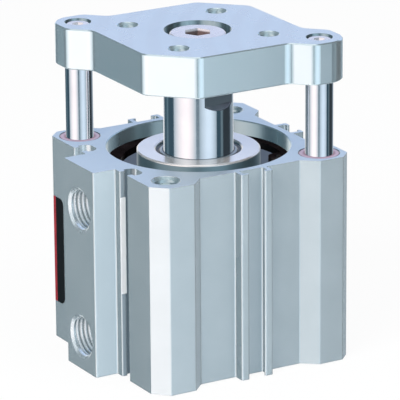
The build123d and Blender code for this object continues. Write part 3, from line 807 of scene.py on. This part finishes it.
def cut_thread(name, dark, light, roughness, painted_root_shade=None):
    """Walls of a tapped hole in a given tone, darker than the skin round it where it paints the shade inside
    a hole, with painted shade in the thread's roots where a root tone is given.
    """
    material, tree, shader = new_material(name, metallic=0.7)
    cloud = noise(tree, cells=500.0)
    tone = mottle(tree, cloud, dark, light)
    # painted shade in the thread's roots
    if painted_root_shade:
        tone = mix_colour(tree, groove_mask(tree), tone, painted_root_shade)
    rough = about(tree, cloud, roughness, below=0.05, above=0.05)
    finish(tree, shader, tone, rough, bump(tree, noise(tree, cells=1800.0), THREAD_DEPTH))
    return material


def moulded(name, light, dark, roughness):
    """Rubber or resin from a mould, with a fine grain and faint tone changes."""
    material, tree, shader = new_material(name, metallic=0.0, specular=0.4)
    grain = noise(tree, cells=1500.0)
    tone = mottle(tree, noise(tree, cells=300.0), dark, light)
    rough = about(tree, grain, roughness, below=0.08, above=0.08)
    finish(tree, shader, tone, rough, bump(tree, grain, GRAIN_DEPTH))
    return material


def wiper_rubber(name):
    """Black rubber of the rod seal, with a glossy coat and a paler tone as painted highlight on its wiping
    lip.
    """
    material, tree, shader = new_material(name, metallic=0.0, specular=0.4)
    cloud = noise(tree, cells=300.0)
    grain = noise(tree, cells=1500.0)
    lip = wiper_mask(tree)
    black = mottle(tree, cloud, (0.008, 0.009, 0.011), (0.018, 0.020, 0.024))
    # painted highlight: the paler tone on the lip stands for its sheen; the coat adds real gloss
    pale = mottle(tree, cloud, (0.16, 0.20, 0.23), (0.25, 0.30, 0.33))
    tone = mix_colour(tree, lip, black, pale)
    rough = spread(tree, grain, 0.28, 0.42)
    finish(tree, shader, tone, rough, bump(tree, grain, GRAIN_DEPTH))
    join(tree, lip, shader.inputs["Coat Weight"])
    shader.inputs["Coat Roughness"].default_value = 0.12
    return material


def striped_label(name):
    """Black satin film with a red stripe along its outer edge."""
    material, tree, shader = new_material(name, metallic=0.0, specular=0.2)
    stripe_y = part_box("name_plate")[1].y - STRIPE_W
    stripe = add_node(tree, "ShaderNodeMath", {1: stripe_y}, operation="GREATER_THAN")
    join(tree, place_parts(tree)["Y"], stripe.inputs[0])
    cloud = noise(tree, cells=250.0)
    black = mottle(tree, cloud, (0.006, 0.006, 0.006), (0.011, 0.011, 0.012))
    red = mottle(tree, cloud, (0.30, 0.025, 0.035), (0.38, 0.035, 0.045))
    tone = mix_colour(tree, stripe.outputs[0], black, red)
    relief = bump(tree, noise(tree, cells=1500.0), FILM_DEPTH)
    rough = spread(tree, cloud, 0.28, 0.38)
    finish(tree, shader, tone, rough, relief)
    return material


def slot_materials():
    """Materials by slot, apart from the slots whose nodes all have one of their own."""
    return {
        "body_aluminium": body_metal(),
        "plate_aluminium": plate_metal(),
        "cover_aluminium": cover_metal("cover_turned"),
        "piston_aluminium": turned_metal("piston_turned", (0.76, 0.74, 0.68), (0.66, 0.64, 0.58)),
        "hard_chrome": ground_chrome("hard_chrome"),
        "ring_steel": dark_steel("phosphated_spring_steel"),
        "magnet": moulded("bonded_magnet", (0.06, 0.06, 0.065), (0.03, 0.03, 0.035), roughness=0.55),
        "seal_rubber": moulded("nitrile_rubber", (0.022, 0.022, 0.025), (0.01, 0.01, 0.012), roughness=0.35),
        "wear_resin": moulded("filled_resin", (0.28, 0.20, 0.13), (0.20, 0.14, 0.09), roughness=0.5),
        "bumper_urethane": moulded("polyurethane", (0.55, 0.40, 0.20), (0.45, 0.31, 0.14), roughness=0.4),
        "label_black": striped_label("striped_film"),
        "label_white": moulded("white_film", (0.99, 0.99, 0.99), (0.96, 0.97, 0.98), roughness=0.45),
    }


def node_materials():
    """Materials that follow the place of one node or of a pair."""
    rod_bush_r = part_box("rod_bush")[1].x
    made = {
        "rod_bush": sintered_bronze("sintered_bronze_rod", ROD_AXIS, PISTON_ROD_R, rod_bush_r),
        "rod_seal": wiper_rubber("wiper_rubber"),
    }
    for side, centre in (("left", GUIDE_LEFT), ("right", GUIDE_RIGHT)):
        bronze = sintered_bronze("sintered_bronze_" + side, centre, GUIDE_BORE_R, GUIDE_BUSH_R)
        made["upper_guide_bush_" + side] = bronze
        made["lower_guide_bush_" + side] = bronze
    painted_sockets = {
        # dark tones paint shade into the plate screw's socket, light ones a glint into the guide rod screws'
        # sockets
        "plate_screw": ((0.13, 0.085, 0.08), (0.20, 0.14, 0.13)),
        "guide_rod_screws": ((0.80, 0.80, 0.82), (0.94, 0.94, 0.95)),
    }
    for name, tones in painted_sockets.items():
        made[name] = plated_steel(name + "_plating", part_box(name)[1].z, tones)
    return made


def paint_nodes():
    """Gives each CAD node its own material or that of its slot."""
    by_slot = slot_materials()
    by_node = node_materials()
    for part in frame["record"]["subparts"]:
        mesh = nodes[part["node"]].data
        mesh.materials.clear()
        mesh.materials.append(by_node.get(part["node"]) or by_slot[part["material_slot"]])
    for name, node in nodes.items():
        node.visible_glossy = name == MIRRORED


# Threads

def ring_point(radius, step, z):
    """Point of a circle about Z, with the circle cut into the thread's steps."""
    angle = math.tau * step / THREAD_STEPS
    return (radius * math.cos(angle), radius * math.sin(angle), z)


def faded(radius, crest_r, step):
    """Radius that grows out of the crest over the first half turn."""
    return crest_r + (radius - crest_r) * min(1.0, step / (THREAD_STEPS / 2))


def thread_turns(root_r, crest_r, pitch, length, lead_in):
    """Points and faces of a helical groove whose profile runs from a root to the next one."""
    steps = int((length - lead_in) / pitch) * THREAD_STEPS
    profile = ((0.0, root_r), (CREST_START, crest_r), (CREST_END, crest_r))
    row_length = len(profile) + 1
    points = []
    for step in range(steps + 1):
        depth = lead_in + pitch * step / THREAD_STEPS
        for share, radius in profile:
            points.append(ring_point(faded(radius, crest_r, step), step, -depth - share * pitch))
        next_root = faded(root_r, crest_r, step + THREAD_STEPS)
        points.append(ring_point(next_root, step, -depth - pitch))
    faces = []
    for step in range(steps):
        for place in range(len(profile)):
            first = row_length * step + place
            faces.append((first, first + 1, first + row_length + 1, first + row_length))
    return points, faces


def thread_mouth(root_r, crest_r, pitch, lead_in, base):
    """Points and faces of the cone that leads from the mouth to the first crest."""
    points = []
    for step in range(THREAD_STEPS + 1):
        climb = pitch * step / THREAD_STEPS
        for radius, depth in ((root_r, 0.0), (crest_r, lead_in), (crest_r, lead_in + climb)):
            points.append(ring_point(radius, step, -depth))
    row_length = len(points) // (THREAD_STEPS + 1)
    faces = []
    for step in range(THREAD_STEPS):
        for first in (base + row_length * step, base + row_length * step + 1):
            faces.append((first, first + 1, first + row_length + 1, first + row_length))
    return points, faces


def inner_thread(name, root_r, crest_r, pitch, length, lead_in):
    """Screw thread inside a hole whose mouth is at the origin and whose depth runs along -Z."""
    points, faces = thread_turns(root_r, crest_r, pitch, length, lead_in)
    mouth_points, mouth_faces = thread_mouth(root_r, crest_r, pitch, lead_in, len(points))
    return mesh_object(name, points + mouth_points, faces + mouth_faces)


def add_thread(name, sizes, mouth, axis, body, material):
    """Sets a thread into a hole that opens along an axis."""
    thread = inner_thread(name, **sizes)
    turn = axis.to_track_quat("Z", "Y").to_matrix().to_4x4()
    thread.data.transform(Matrix.Translation(mouth) @ turn)
    thread.data.materials.append(material)
    thread.visible_glossy = False
    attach(thread, body)


def add_threads():
    """Threads of the two ports, the fixing holes and the plate's load holes."""
    # painted shade: the fixing and load holes' walls are darker than the port threads for the shade inside
    # them
    cut = cut_thread("cut_thread", (0.46, 0.58, 0.61), (0.56, 0.68, 0.71), roughness=0.32)
    # the port threads take painted shade in their roots
    port = cut_thread("port_thread", (0.72, 0.81, 0.84), (0.80, 0.88, 0.91), roughness=0.26,
                      painted_root_shade=(0.15, 0.21, 0.23))
    for name, z in zip(("head_port_thread", "rod_port_thread"), PORT_Z):
        mouth = Vector((PORT_FACE_X, 0.0, z))
        add_thread(name, PORT_THREAD, mouth, PORT_AXIS, "barrel", port)
    for corner, place in (("front", -FIX_OFFSET), ("back", FIX_OFFSET)):
        for end, z, axis in (("top", BODY_TOP - FIX_CHAMFER, UP), ("base", FIX_CHAMFER, DOWN)):
            mouth = Vector((place, place, z))
            add_thread(f"{corner}_{end}_thread", FIX_THREAD, mouth, axis, "barrel", cut)
    for column, x in (("left", -TAP_OFFSET), ("right", TAP_OFFSET)):
        for row, y in (("front", -TAP_OFFSET), ("back", TAP_OFFSET)):
            mouth = Vector((x, y, PLATE_TOP - TAP_CHAMFER))
            name = f"load_{row}_{column}_thread"
            add_thread(name, TAP_THREAD, mouth, UP, "carriage", cut)


bpy.context.scene.view_settings.view_transform = "Standard"
add_camera()
add_world()
add_floor()
add_left_panels()
add_front_panels()
add_upper_panels()
add_right_panels()
add_back_panels()
add_softbox("key_softbox", azimuth=-62.0, elevation=38.0, distance=0.9, width=0.5, power=5.0)
add_softbox("fill_softbox", azimuth=20.0, elevation=45.0, distance=1.0, width=0.6, power=3.0)
paint_nodes()
add_threads()
